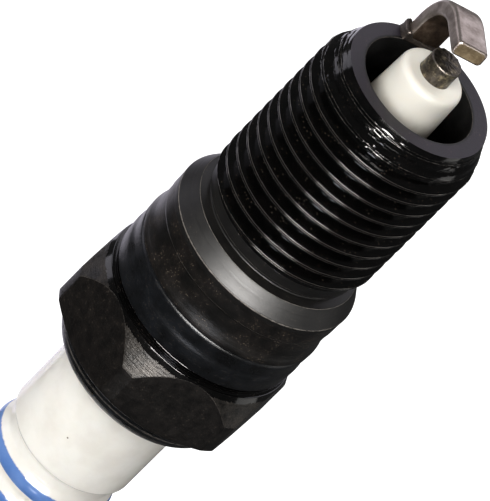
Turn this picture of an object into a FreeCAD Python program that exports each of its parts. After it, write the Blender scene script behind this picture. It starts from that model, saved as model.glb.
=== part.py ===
import FreeCAD, Part
import math
import os

# Spark plug with a conical seat, in millimetres.
# Z is the plug's axis: the firing end is up and the cable terminal is down.
# Z = 0 is the gauge circle of the conical seat, the plane where the plug meets the cylinder head.
# A corner of the hexagon points along -Y.

V = FreeCAD.Vector

# ---- seat and thread of the shell
seat_gauge_r = 7.4           # radius of the gauge circle on the cone
seat_half_angle = 31.5       # half of the cone's 63 degrees
reach = 17.5                 # gauge circle to the end face
thread_r = 6.95              # crest radius, M14 with its usual allowance
thread_pitch = 1.25
thread_depth = 0.72
thread_crest_flat = 0.25
thread_start = 68.0          # azimuth of the groove's start
lead_in_depth = 1.05         # crests to the outer edge of the end face
lead_in_length = 2.4         # tapered start of the thread
thread_end_z = 3.0           # where the crests stop, next to the relief
relief_depth = 0.5           # turned strip behind the thread, under the crests
relief_groove_depth = 0.8    # deeper groove in front of the cone, under the crests
relief_groove_z = 1.55
cone_front_z = 0.85          # small end of the conical seat

# ---- barrel, hot-crimp groove, hexagon and collar
barrel_r = 7.75              # large end of the cone
barrel_step_z = -2.2         # line between two turned passes
barrel_waist_r = 7.6         # shallow waist
barrel_waist_z = -3.7
band_r = 7.8                 # raised band behind the waist
band_front_z = -4.55
band_line_z = -4.85          # fine groove round the band
band_line_width = 0.22
band_line_depth = 0.14
band_back_z = -6.6           # edge where the barrel starts to draw in
barrel_back_r = 7.7
barrel_back_z = -8.05        # end of the barrel, start of the crimp groove
crimp_groove_r = 7.45        # narrow groove in front of the hexagon
crimp_groove_width = 0.45
hex_flats = 15.88            # across flats, 5/8 in
hex_corner_cut = 0.3         # turned off each corner
hex_front_z = -8.6
hex_front_rise = 2.3         # length of the front facets on the corners
hex_back_z = -14.5
collar_step = 0.39           # flats to the start of the crimped collar
collar_length = 1.75
collar_curl = 0.8            # start of the collar to its rear rim

# ---- inside of the shell
end_bore_r = 4.6             # mouth of the firing end
ledge_z = 3.6                # top of the ledge that carries the insulator
ledge_r = 3.75
ledge_length = 2.2
ledge_angle = 30.0           # slope of the ledge and of the insulator's shoulder
waist_bore_r = 5.0           # bore behind the ledge
packing_width = 1.26         # insulator's body to the counterbore for its flange
flange_floor_z = -6.2        # front end of the counterbore

# ---- insulator
nose_tip_r = 2.55
nose_stand = 1.8             # nose past the shell's end face
nose_edge_share = 0.866      # rounding of the nose's rim, as a share of its wall
nose_root_r = 3.35           # where the nose meets the shoulder
electrode_clearance = 0.03   # hole round the centre electrode
core_floor_z = 2.6           # end of the small hole
seal_bore_r = 2.0            # hole for seals, resistor and stud
waist_clearance = 0.1        # insulator to shell, round the waist
flange_clearance = 0.08      # insulator to shell, round the flange
flange_length = 4.2
flange_slope = 1.15          # bevel at both ends of the flange
body_r = 5.19                # glazed body behind the collar
body_back_z = -24.9
body_edge = 0.95             # rounding at the end of the body
rib_count = 5
rib_pitch = 2.5
rib_depth = 0.54             # valleys between the ribs, under the body
first_rib_z = -27.2
head_step = 0.89             # body to the end under the terminal
head_z = -40.5
head_edge = 0.7

# ---- packing between collar and insulator
washer_thickness = 0.3       # gasket on the ledge
ring_thickness = 0.75        # both wire rings
packing_gap = 0.02

# ---- electrodes
electrode_r = 1.25
electrode_stand = 1.55       # tip past the insulator's nose
electrode_head_r = 1.8
electrode_head_skirt = 0.38  # plain part of the head, behind the bore's cone
core_r = 0.7
core_tip_gap = 2.2           # copper stops this far under the tip
strap_width = 2.52
strap_thickness = 1.28
strap_corner = 0.34
strap_azimuth = 123.0        # where the strap stands on the end face
strap_offset = -0.2          # strap's own plane, beside the plug's axis
spark_gap = 1.44              # on the axis
strap_bend_r = 3.0           # inside radius of the bend
strap_rise = 5.5             # the arm still climbs toward its tip, in degrees
strap_past_axis = 1.1        # tip of the strap, past the plug's axis
weld_width = 0.45            # bead squeezed out round the foot
weld_height = 0.5

# ---- conductors inside the insulator, from the firing end to the terminal
lower_seal_length = 3.2
resistor_length = 8.5
upper_seal_length = 5.0
stud_foot_length = 3.4       # knurled foot inside the upper seal
stud_foot_r = 1.55
stud_clearance = 0.12        # stud in the insulator's bore
stud_collar_r = 2.7
stud_collar_length = 0.8
stud_thread_r = 1.97         # M4 x 0.7
stud_thread_pitch = 0.7
stud_thread_depth = 0.4
stud_crest_flat = 0.1
stud_thread_length = 7.2
knurl_grooves = 12
knurl_depth = 0.16

# ---- terminal nut
nut_r = 3.175                # SAE terminal, 1/4 in
nut_length = 9.9
nut_foot_length = 3.2
nut_waist_r = 2.55
nut_waist_length = 2.3
nut_bore_clearance = 0.06
nut_top_wall = 1.6
nut_edge = 0.45


def section(start, *steps):
    """Closed outline in the XZ plane: a step is a point, or a (through, end) pair for an arc."""
    edges = []
    here = V(start[0], 0, start[1])
    for step in list(steps) + [start]:
        if isinstance(step[0], tuple):
            through = V(step[0][0], 0, step[0][1])
            end = V(step[1][0], 0, step[1][1])
            edges.append(Part.Arc(here, through, end).toShape())
        else:
            end = V(step[0], 0, step[1])
            if end.distanceToPoint(here) > 1e-7:
                edges.append(Part.makeLine(here, end))
        here = end
    return Part.Face(Part.Wire(edges))


def turned(start, *steps):
    """Solid of revolution about Z."""
    return section(start, *steps).revolve(V(0, 0, 0), V(0, 0, 1), 360)


def ring(inner_r, outer_r, low_z, high_z):
    return turned((inner_r, low_z), (outer_r, low_z), (outer_r, high_z), (inner_r, high_z))


def rod(radius, low_z, high_z):
    return Part.makeCylinder(radius, high_z - low_z, V(0, 0, low_z))


def thread_cutter(crest_r, depth, pitch, crest_flat, low_z, high_z):
    """Helical groove with 60 degree flanks between two heights, starting on +X."""
    over = 0.15
    flank = math.tan(math.radians(30))
    half_mouth = (pitch - crest_flat) / 2
    half_root = half_mouth - depth * flank
    # the groove keeps clear of its own next turn outside the crest
    half_over = min(half_mouth + over * flank, 0.49 * pitch)
    root_r = crest_r - depth
    out_r = crest_r + over
    path = Part.makeHelix(pitch, high_z - low_z, root_r)
    path.translate(V(0, 0, low_z))
    corners = [
        V(root_r, 0, low_z - half_root),
        V(out_r, 0, low_z - half_over),
        V(out_r, 0, low_z + half_over),
        V(root_r, 0, low_z + half_root),
    ]
    profile = Part.makePolygon(corners + corners[:1])
    return Part.Wire(path.Edges).makePipeShell([profile], True, True)


def slope(run):
    """Rise of the ledge's cone over a radial run."""
    return run * math.tan(math.radians(ledge_angle))


# ---- levels that several pieces share
cone_rise = math.tan(math.radians(seat_half_angle))
barrel_front_z = -(barrel_r - seat_gauge_r) / cone_rise
cone_front_r = seat_gauge_r - cone_front_z * cone_rise
lead_in_r = thread_r - lead_in_depth
relief_r = thread_r - relief_depth
relief_groove_r = thread_r - relief_groove_depth
hex_flat_r = hex_flats / 2
hex_corner_r = hex_flat_r / math.cos(math.pi / 6) - hex_corner_cut
collar_r = hex_flat_r - collar_step
collar_lip_r = collar_r - collar_curl
flange_bore_r = body_r + packing_width
rib_valley_r = body_r - rib_depth
head_r = body_r - head_step
core_bore_r = electrode_r + electrode_clearance
nose_edge = nose_edge_share * (nose_tip_r - core_bore_r)
nose_tip_z = reach + nose_stand
electrode_tip_z = nose_tip_z + electrode_stand
stud_r = seal_bore_r - stud_clearance
collar_back_z = hex_back_z - collar_length
bore_step_z = ledge_z - ledge_length
insulator_waist_r = waist_bore_r - waist_clearance
insulator_flange_r = flange_bore_r - flange_clearance
shoulder_low_z = bore_step_z - washer_thickness
flange_front_z = flange_floor_z - packing_gap - slope(flange_bore_r - waist_bore_r)
flange_back_z = flange_front_z - flange_length
packing_front_z = flange_back_z - flange_slope
lip_inside_r = body_r + packing_gap + 0.06
lip_inside_z = collar_back_z + 0.75
upper_ring_z = lip_inside_z + packing_gap
talc_back_z = upper_ring_z + ring_thickness
lower_ring_back_z = packing_front_z - ring_thickness
lower_seal_z = core_floor_z - (seal_bore_r - core_bore_r) - electrode_head_skirt
resistor_z = lower_seal_z - lower_seal_length
upper_seal_z = resistor_z - resistor_length
upper_seal_back_z = upper_seal_z - upper_seal_length
stud_collar_back_z = head_z - stud_collar_length
stud_back_z = stud_collar_back_z - stud_thread_length
nut_front_z = stud_collar_back_z
nut_back_z = nut_front_z - nut_length
strap_mid_r = (end_bore_r + lead_in_r) / 2


def make_threaded_end():
    """Threaded end of the shell, solid: a threaded bar turned down to its outline."""
    bar = rod(thread_r, relief_groove_z, reach + 2 * thread_pitch)
    groove = thread_cutter(thread_r, thread_depth, thread_pitch, thread_crest_flat,
                           thread_end_z, reach + thread_pitch)
    groove.rotate(V(0, 0, 0), V(0, 0, 1), thread_start)
    bar = bar.cut(groove)
    outline = turned(
        (0, reach),
        (lead_in_r, reach),
        (thread_r, reach - lead_in_length),
        (thread_r, thread_end_z),
        (relief_r, thread_end_z - (thread_r - relief_r)),
        (relief_r, relief_groove_z),
        (0, relief_groove_z),
    )
    return bar.common(outline)


def make_shell():
    outer = turned(
        (0, relief_groove_z),
        (relief_r, relief_groove_z),
        (relief_groove_r, relief_groove_z - 0.15),
        (relief_groove_r, cone_front_z + 0.25),
        (cone_front_r, cone_front_z),
        (barrel_r, barrel_front_z),
        (barrel_r - 0.06, barrel_step_z),
        (barrel_r - 0.1, barrel_step_z - 0.06),
        (barrel_waist_r, barrel_waist_z),
        (band_r, band_front_z),
        (band_r, band_line_z + band_line_width / 2),
        (band_r - band_line_depth, band_line_z),
        (band_r, band_line_z - band_line_width / 2),
        (band_r, band_back_z),
        (barrel_back_r, barrel_back_z),
        (crimp_groove_r, barrel_back_z - 0.12),
        (crimp_groove_r, barrel_back_z - crimp_groove_width + 0.12),
        (hex_flat_r - 0.05, barrel_back_z - crimp_groove_width),
        (hex_flat_r - 0.05, hex_back_z),
        (collar_r, hex_back_z - 0.05),
        ((collar_r - 0.2, (hex_back_z + collar_back_z) / 2), (collar_lip_r + 0.12, collar_back_z + 0.12)),
        (collar_lip_r, collar_back_z),
        (0, collar_back_z),
    )
    prism = Part.makePolygon([
        V(hex_flat_r / math.cos(math.pi / 6) * math.cos(math.radians(a)),
          hex_flat_r / math.cos(math.pi / 6) * math.sin(math.radians(a)), hex_back_z - 0.6)
        for a in range(30, 391, 60)
    ])
    prism = Part.Face(prism).extrude(V(0, 0, hex_front_z - hex_back_z + 1.2))
    hex_turning = turned(
        (0, hex_front_z),
        (hex_flat_r - 0.05, hex_front_z),
        (hex_corner_r, hex_front_z - hex_front_rise),
        (hex_corner_r, hex_back_z + 0.7),
        (hex_flat_r - 0.1, hex_back_z),
        (0, hex_back_z),
    )
    body = outer.fuse(prism.common(hex_turning)).fuse(make_threaded_end())
    inside = turned(
        (0, reach + 1),
        (end_bore_r, reach + 1),
        (end_bore_r, ledge_z + slope(end_bore_r - ledge_r) + 1.2),
        (ledge_r, ledge_z),
        (ledge_r, bore_step_z),
        (waist_bore_r, bore_step_z - slope(waist_bore_r - ledge_r)),
        (waist_bore_r, flange_floor_z),
        (flange_bore_r, flange_floor_z - slope(flange_bore_r - waist_bore_r)),
        (flange_bore_r, lip_inside_z),
        (lip_inside_r, lip_inside_z),
        (lip_inside_r, collar_back_z - 1),
        (0, collar_back_z - 1),
    )
    return body.cut(inside)


def make_insulator():
    ribs = []
    for k in range(rib_count):
        crest_z = first_rib_z - k * rib_pitch
        ribs.append((rib_valley_r, crest_z + rib_pitch / 2))
        ribs.append(((body_r, crest_z), (rib_valley_r, crest_z - rib_pitch / 2)))
    last_z = first_rib_z - (rib_count - 0.5) * rib_pitch
    shoulder_run = insulator_waist_r - nose_root_r
    bend = body_edge * (1 - math.sqrt(0.5))
    nose_bend = nose_edge * (1 - math.sqrt(0.5))
    return turned(
        (core_bore_r, nose_tip_z),
        (nose_tip_r - nose_edge, nose_tip_z),
        ((nose_tip_r - nose_bend, nose_tip_z - nose_bend), (nose_tip_r, nose_tip_z - nose_edge)),
        (nose_root_r, bore_step_z + 0.4),
        (nose_root_r, bore_step_z - washer_thickness / math.cos(math.radians(ledge_angle))
         - slope(nose_root_r - ledge_r)),
        (insulator_waist_r, bore_step_z - washer_thickness / math.cos(math.radians(ledge_angle))
         - slope(insulator_waist_r - ledge_r)),
        (insulator_waist_r, flange_floor_z - packing_gap - slope(insulator_waist_r - waist_bore_r)),
        (insulator_flange_r, flange_floor_z - packing_gap - slope(insulator_flange_r - waist_bore_r)),
        (insulator_flange_r, flange_back_z),
        (body_r, packing_front_z),
        (body_r, body_back_z + body_edge),
        ((body_r - bend, body_back_z + bend), (body_r - body_edge, body_back_z)),
        *ribs,
        (head_r, last_z - 0.5),
        (head_r, head_z + head_edge),
        ((head_r - head_edge * (1 - math.sqrt(0.5)), head_z + head_edge * (1 - math.sqrt(0.5))),
         (head_r - head_edge, head_z)),
        (seal_bore_r, head_z),
        (seal_bore_r, core_floor_z - (seal_bore_r - core_bore_r)),
        (core_bore_r, core_floor_z),
    )


def make_seat_washer():
    lift = washer_thickness / math.cos(math.radians(ledge_angle))
    inner_r = ledge_r + 0.05
    outer_r = waist_bore_r - 0.12
    return turned(
        (inner_r, bore_step_z - slope(inner_r - ledge_r)),
        (outer_r, bore_step_z - slope(outer_r - ledge_r)),
        (outer_r, bore_step_z - lift - slope(outer_r - ledge_r)),
        (inner_r, bore_step_z - lift - slope(inner_r - ledge_r)),
    )


def make_lower_ring():
    return packing_ring(lower_ring_back_z, packing_front_z - packing_gap)


def make_upper_ring():
    return packing_ring(upper_ring_z, talc_back_z)


def packing_ring(low_z, high_z):
    """Wire ring that the crimp has pressed to the width of its gap."""
    inner_r = body_r + packing_gap
    outer_r = flange_bore_r - packing_gap
    edge = 0.2
    return turned(
        (inner_r + edge, low_z), (outer_r - edge, low_z), (outer_r, low_z + edge), (outer_r, high_z - edge),
        (outer_r - edge, high_z), (inner_r + edge, high_z), (inner_r, high_z - edge), (inner_r, low_z + edge),
    )


def make_talc():
    inner_r = body_r + packing_gap
    outer_r = flange_bore_r - packing_gap
    return ring(inner_r, outer_r, talc_back_z + packing_gap, lower_ring_back_z - packing_gap)


def make_electrode():
    """Nickel electrode with its head, bored from the back for the copper."""
    edge = 0.12
    top_z = electrode_tip_z
    head_front_z = core_floor_z - (electrode_head_r - core_bore_r) - packing_gap
    return turned(
        (0, top_z),
        (electrode_r - edge, top_z),
        (electrode_r, top_z - edge),
        (electrode_r, core_floor_z),
        (electrode_head_r, head_front_z),
        (electrode_head_r, lower_seal_z),
        (core_r, lower_seal_z),
        (core_r, top_z - core_tip_gap - core_r),
        (0, top_z - core_tip_gap),
    )


def make_electrode_core():
    return turned(
        (0, electrode_tip_z - core_tip_gap),
        (core_r, electrode_tip_z - core_tip_gap - core_r),
        (core_r, lower_seal_z),
        (0, lower_seal_z),
    )


def make_lower_seal():
    return rod(seal_bore_r, resistor_z, lower_seal_z)


def make_resistor():
    return rod(seal_bore_r, upper_seal_z, resistor_z)


def make_upper_seal():
    return rod(seal_bore_r, upper_seal_back_z, upper_seal_z).cut(make_stud())


def make_stud_thread():
    """Threaded end of the stud, cut on a longer bar and pointed."""
    bar = rod(stud_thread_r, stud_back_z - 2 * stud_thread_pitch, stud_collar_back_z)
    bar = bar.cut(thread_cutter(stud_thread_r, stud_thread_depth, stud_thread_pitch, stud_crest_flat,
                                stud_back_z - stud_thread_pitch, stud_collar_back_z - stud_thread_pitch))
    outline = turned(
        (0, stud_collar_back_z),
        (stud_thread_r, stud_collar_back_z),
        (stud_thread_r, stud_back_z + stud_thread_depth),
        (stud_thread_r - stud_thread_depth, stud_back_z),
        (0, stud_back_z),
    )
    return bar.common(outline)


def make_stud():
    """Steel stud: knurled foot, shank, collar on the insulator and threaded end."""
    foot_front_z = upper_seal_back_z + stud_foot_length
    stud = turned(
        (0, foot_front_z),
        (stud_foot_r - 0.3, foot_front_z),
        (stud_foot_r, foot_front_z - 0.3),
        (stud_foot_r, upper_seal_back_z),
        (stud_r, upper_seal_back_z),
        (stud_r, head_z),
        (stud_collar_r, head_z),
        (stud_collar_r, stud_collar_back_z),
        (0, stud_collar_back_z),
    )
    for k in range(knurl_grooves):
        angle = math.radians(360 * k / knurl_grooves)
        groove = rod(2 * knurl_depth, upper_seal_back_z + 0.4, foot_front_z + 1)
        groove_r = stud_foot_r + knurl_depth
        groove.translate(V(groove_r * math.cos(angle), groove_r * math.sin(angle), 0))
        stud = stud.cut(groove)
    return stud.fuse(make_stud_thread())


def make_nut():
    """Terminal nut, screwed on the stud with a smooth bore in place of its thread."""
    bore_r = stud_thread_r + nut_bore_clearance
    foot_back_z = nut_front_z - nut_foot_length
    waist_back_z = foot_back_z - nut_waist_length
    bore_back_z = min(nut_back_z + nut_top_wall, stud_back_z - 0.3)
    soft = 0.35
    return turned(
        (bore_r, nut_front_z),
        (nut_r - 0.2, nut_front_z),
        (nut_r, nut_front_z - 0.2),
        (nut_r, foot_back_z + 0.2),
        (nut_r - 0.2, foot_back_z),
        (nut_waist_r + soft, foot_back_z),
        ((nut_waist_r + 0.1, foot_back_z - 0.25), (nut_waist_r, foot_back_z - 0.85)),
        (nut_waist_r, waist_back_z + soft),
        (nut_r - 0.1, waist_back_z),
        (nut_r, waist_back_z - 0.1),
        (nut_r, nut_back_z + nut_edge),
        ((nut_r - 0.3 * nut_edge, nut_back_z + 0.3 * nut_edge), (nut_r - nut_edge, nut_back_z)),
        (0, nut_back_z),
        (0, bore_back_z),
        (bore_r, bore_back_z),
    )


def strap_path():
    """Centre line of the strap in its own plane: x runs out from the axis, z runs up."""
    rise = math.radians(strap_rise)
    bend_r = strap_bend_r + strap_thickness / 2
    mid_on_axis_z = electrode_tip_z + spark_gap + strap_thickness / 2 / math.cos(rise)
    centre_x = strap_mid_r - bend_r
    arm_x = centre_x + bend_r * math.sin(rise)
    arm_z = mid_on_axis_z - arm_x * math.tan(rise)
    centre_z = arm_z - bend_r * math.cos(rise)
    half_turn = (math.pi / 2 - rise) / 2
    through = V(centre_x + bend_r * math.cos(half_turn), 0, centre_z + bend_r * math.sin(half_turn))
    bend_start = V(strap_mid_r, 0, centre_z)
    bend_end = V(arm_x, 0, arm_z)
    tip = V(-strap_past_axis, 0, mid_on_axis_z + strap_past_axis * math.tan(rise))
    return Part.Wire([
        Part.makeLine(V(strap_mid_r, 0, reach), bend_start),
        Part.Arc(bend_start, through, bend_end).toShape(),
        Part.makeLine(bend_end, tip),
    ])


def strap_section(grow, z):
    """Strap's cross-section, standing on the end face, with rounded corners."""
    half_t = strap_thickness / 2 + grow
    half_w = strap_width / 2 + grow
    corner = strap_corner + grow
    plate = Part.makeBox(2 * half_t, 2 * half_w, 1, V(strap_mid_r - half_t, -half_w, z))
    upright = [e for e in plate.Edges if abs(e.tangentAt(e.FirstParameter).z) > 0.99]
    plate = plate.makeFillet(corner, upright)
    return [f for f in plate.Faces if f.normalAt(0, 0).z < -0.99][0].OuterWire


def set_on_end_face(shape):
    """Turn a shape from the strap's own plane to its place on the shell."""
    shape.translate(V(0, strap_offset, 0))
    shape.rotate(V(0, 0, 0), V(0, 0, 1), strap_azimuth)
    return shape


def make_strap():
    strap = strap_path().makePipeShell([strap_section(0, reach)], True, False)
    return set_on_end_face(strap.removeSplitter())


def make_weld():
    """Bead round the strap's foot, trimmed to the end face."""
    wide = strap_section(weld_width, reach)
    narrow = strap_section(0.12, reach + weld_height)
    bead = Part.makeLoft([wide, narrow], True, True)
    hole = Part.Face(strap_section(0, reach - 1)).extrude(V(0, 0, 3))
    bead = bead.cut(hole)
    land = ring(end_bore_r - 0.12, lead_in_r + 0.2, reach, reach + 2)
    bead = set_on_end_face(bead).common(land)
    return bead


def save(shape, name):
    shape.exportStep(os.path.join("parts", name + ".step"))
    print(name, "valid", shape.isValid(), "solids", len(shape.Solids), "volume %.2f" % shape.Volume)


if __name__ == "__main__":
    os.makedirs("parts", exist_ok=True)
    save(make_shell(), "metal_shell")
    save(make_strap(), "ground_electrode")
    save(make_weld(), "ground_electrode_weld")
    save(make_electrode(), "centre_electrode")
    save(make_electrode_core(), "centre_electrode_core")
    save(make_insulator(), "insulator")
    save(make_seat_washer(), "insulator_seat_washer")
    save(make_lower_ring(), "lower_packing_ring")
    save(make_talc(), "talc_packing")
    save(make_upper_ring(), "upper_packing_ring")
    save(make_lower_seal(), "lower_glass_seal")
    save(make_resistor(), "resistor")
    save(make_upper_seal(), "upper_glass_seal")
    save(make_stud(), "terminal_stud")
    save(make_nut(), "terminal_nut")
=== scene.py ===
import bpy
import bmesh
import math
from mathutils import Matrix, Vector, noise


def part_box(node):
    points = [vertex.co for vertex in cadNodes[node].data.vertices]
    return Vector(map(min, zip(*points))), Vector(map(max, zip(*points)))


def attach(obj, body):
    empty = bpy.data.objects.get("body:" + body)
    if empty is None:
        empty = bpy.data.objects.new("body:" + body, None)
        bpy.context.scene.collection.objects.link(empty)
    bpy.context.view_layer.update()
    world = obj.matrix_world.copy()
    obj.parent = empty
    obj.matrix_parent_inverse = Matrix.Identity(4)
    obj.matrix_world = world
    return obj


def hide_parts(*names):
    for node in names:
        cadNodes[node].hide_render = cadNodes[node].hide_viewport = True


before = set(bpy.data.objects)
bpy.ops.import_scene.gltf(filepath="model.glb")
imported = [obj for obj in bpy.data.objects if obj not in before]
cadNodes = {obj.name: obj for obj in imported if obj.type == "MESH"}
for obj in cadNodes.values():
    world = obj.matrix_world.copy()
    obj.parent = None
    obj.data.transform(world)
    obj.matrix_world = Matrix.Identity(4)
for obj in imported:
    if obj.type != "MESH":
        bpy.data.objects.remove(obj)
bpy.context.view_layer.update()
print("frame loaded:", len(cadNodes), "nodes")

millimetre = 0.001


def boxInMm(node):
    # lowest and highest corner of a node, in millimetres
    return [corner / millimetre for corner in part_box(node)]


def toLinear(hexColour):
    # sRGB hex to the linear value that a colour socket takes
    channels = [int(hexColour[i:i + 2], 16) / 255 for i in (1, 3, 5)]
    return tuple(c / 12.92 if c <= 0.04045 else ((c + 0.055) / 1.055) ** 2.4 for c in channels) + (1.0,)


def addNode(tree, kind, inputs=None, **settings):
    # one shader node with its settings; an input is a value, or the socket or node that feeds it
    node = tree.nodes.new("ShaderNode" + kind)
    for name, value in settings.items():
        setattr(node, name, value)
    for key, value in (inputs or {}).items():
        if isinstance(value, bpy.types.Node):
            value = value.outputs[0]
        if isinstance(value, bpy.types.NodeSocket):
            tree.links.new(value, node.inputs[key])
        else:
            node.inputs[key].default_value = value
    return node


def smoothStep(low, high, value):
    t = min(max((value - low) / (high - low), 0), 1)
    return t * t * (3 - 2 * t)


def softMax(a, b, blend):
    h = max(blend - abs(a - b), 0) / blend
    return max(a, b) + h * h * blend / 4


def softMin(a, b, blend):
    return -softMax(-a, -b, blend)


def bump(value, centre, width):
    return math.exp(-((value - centre) / width) ** 2)


def around(degrees):
    turn = math.radians(degrees)
    return math.cos(turn), math.sin(turn)


# mesh helpers; a grid is a list of rows, and a row holds (radius, z, wear) for each column

def softOutline(points, steps=4):
    # (radius, z, rounding) corners to rows; a rounded corner becomes a short curve that wears in its middle
    rows = []
    for i, (r, z, rounding) in enumerate(points):
        if rounding == 0 or i in (0, len(points) - 1):
            rows.append((r, z, 0.0))
            continue
        here = Vector((r, z))
        before = Vector(points[i - 1][:2]) - here
        after = Vector(points[i + 1][:2]) - here
        reach = min(rounding, 0.48 * before.length, 0.48 * after.length)
        first = here + before.normalized() * reach
        last = here + after.normalized() * reach
        convex = before.x * after.y - before.y * after.x > 0
        for k in range(steps + 1):
            t = k / steps
            point = first * (1 - t) ** 2 + here * 2 * t * (1 - t) + last * t * t
            wear = 1 - abs(2 * t - 1) if convex else 0.0
            rows.append((point.x, point.y, wear))
    return rows


def spread(rows, longest):
    # more rows on long runs, so that shading and noise have something to hold on to
    dense = [rows[0]]
    for a, b in zip(rows, rows[1:]):
        parts = max(1, math.ceil(math.dist(a[:2], b[:2]) / longest))
        for k in range(1, parts + 1):
            t = k / parts
            dense.append(tuple(x + (y - x) * t for x, y in zip(a, b)))
    return dense


def evenAngles(count):
    return [360 * i / count for i in range(count)]


class Surface:
    # collects grids, then becomes one welded mesh object
    def __init__(self):
        self.points = []
        self.wear = []
        self.faces = []
        self.finish = []

    def addGrid(self, rows, angles, finish=0, seamShift=0, rim=None):
        # rows run round the axis and close on themselves, seamShift rows further up;
        # rim is (radius, finish) for the faces that stand further out than that radius
        start = len(self.points)
        count = len(angles)
        directions = [around(a) for a in angles]
        cellRows = [row if isinstance(row, list) else [row] * count for row in rows]
        for cells in cellRows:
            for (r, z, wear), (c, s) in zip(cells, directions):
                self.points.append((r * c, r * s, z))
                self.wear.append(wear)
        for i in range(len(rows) - 1):
            for j in range(count):
                shift = seamShift if j == count - 1 else 0
                if i + 1 + shift >= len(rows):
                    continue
                k = (j + 1) % count
                a = start + i * count
                b = start + (i + shift) * count
                self.faces.append((a + j, b + k, b + count + k, a + count + j))
                outside = rim is not None and (cellRows[i][j][0] + cellRows[i + 1][k][0]) / 2 > rim[0]
                self.finish.append(rim[1] if outside else finish)

    def addStrip(self, rings, finish=0):
        # closed rings of (point, wear), joined one to the next
        start = len(self.points)
        count = len(rings[0])
        for ring in rings:
            for point, wear in ring:
                self.points.append(tuple(point))
                self.wear.append(wear)
        for i in range(len(rings) - 1):
            for j in range(count):
                k = (j + 1) % count
                a = start + i * count
                self.faces.append((a + j, a + k, a + count + k, a + count + j))
                self.finish.append(finish)

    def build(self, name, materials, sharpAngle=38, weld=0.0004):
        mesh = bpy.data.meshes.new(name)
        bm = bmesh.new()
        layer = bm.verts.layers.float.new("edgeWear")
        verts = []
        for point, wear in zip(self.points, self.wear):
            vert = bm.verts.new([x * millimetre for x in point])
            vert[layer] = wear
            verts.append(vert)
        for corners, finish in zip(self.faces, self.finish):
            face = bm.faces.new([verts[i] for i in corners])
            face.material_index = finish
            face.smooth = True
        bmesh.ops.remove_doubles(bm, verts=bm.verts, dist=weld * millimetre)
        bmesh.ops.dissolve_degenerate(bm, dist=weld * millimetre * 0.1, edges=bm.edges)
        bmesh.ops.recalc_face_normals(bm, faces=bm.faces)
        bm.to_mesh(mesh)
        bm.free()
        for material in materials:
            mesh.materials.append(material)
        mesh.set_sharp_from_angle(angle=math.radians(sharpAngle))
        piece = bpy.data.objects.new(name, mesh)
        bpy.context.scene.collection.objects.link(piece)
        return piece


def settle(piece, body, node):
    # the piece stands for its CAD node and moves with that node's body
    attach(piece, body)
    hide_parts(node)
    print("  ", piece.name, len(piece.data.polygons), "faces")


def newMaterial(name):
    # an empty material, and the surface position in metres
    material = bpy.data.materials.new(name)
    material.use_nodes = True
    tree = material.node_tree
    tree.nodes.clear()
    return material, tree, addNode(tree, "TexCoord").outputs["Object"]


def startFinish(name):
    # the same with the position in millimetres, so that patterns have real sizes
    material, tree, metres = newMaterial(name)
    return material, tree, addNode(
        tree, "VectorMath", {0: metres, "Scale": 1 / millimetre}, operation="SCALE")


def endFinish(tree, inputs):
    # uniform values stand on the shader's own sockets, and patterns are linked to them
    shader = addNode(tree, "BsdfPrincipled", inputs)
    addNode(tree, "OutputMaterial", {"Surface": shader})


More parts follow.
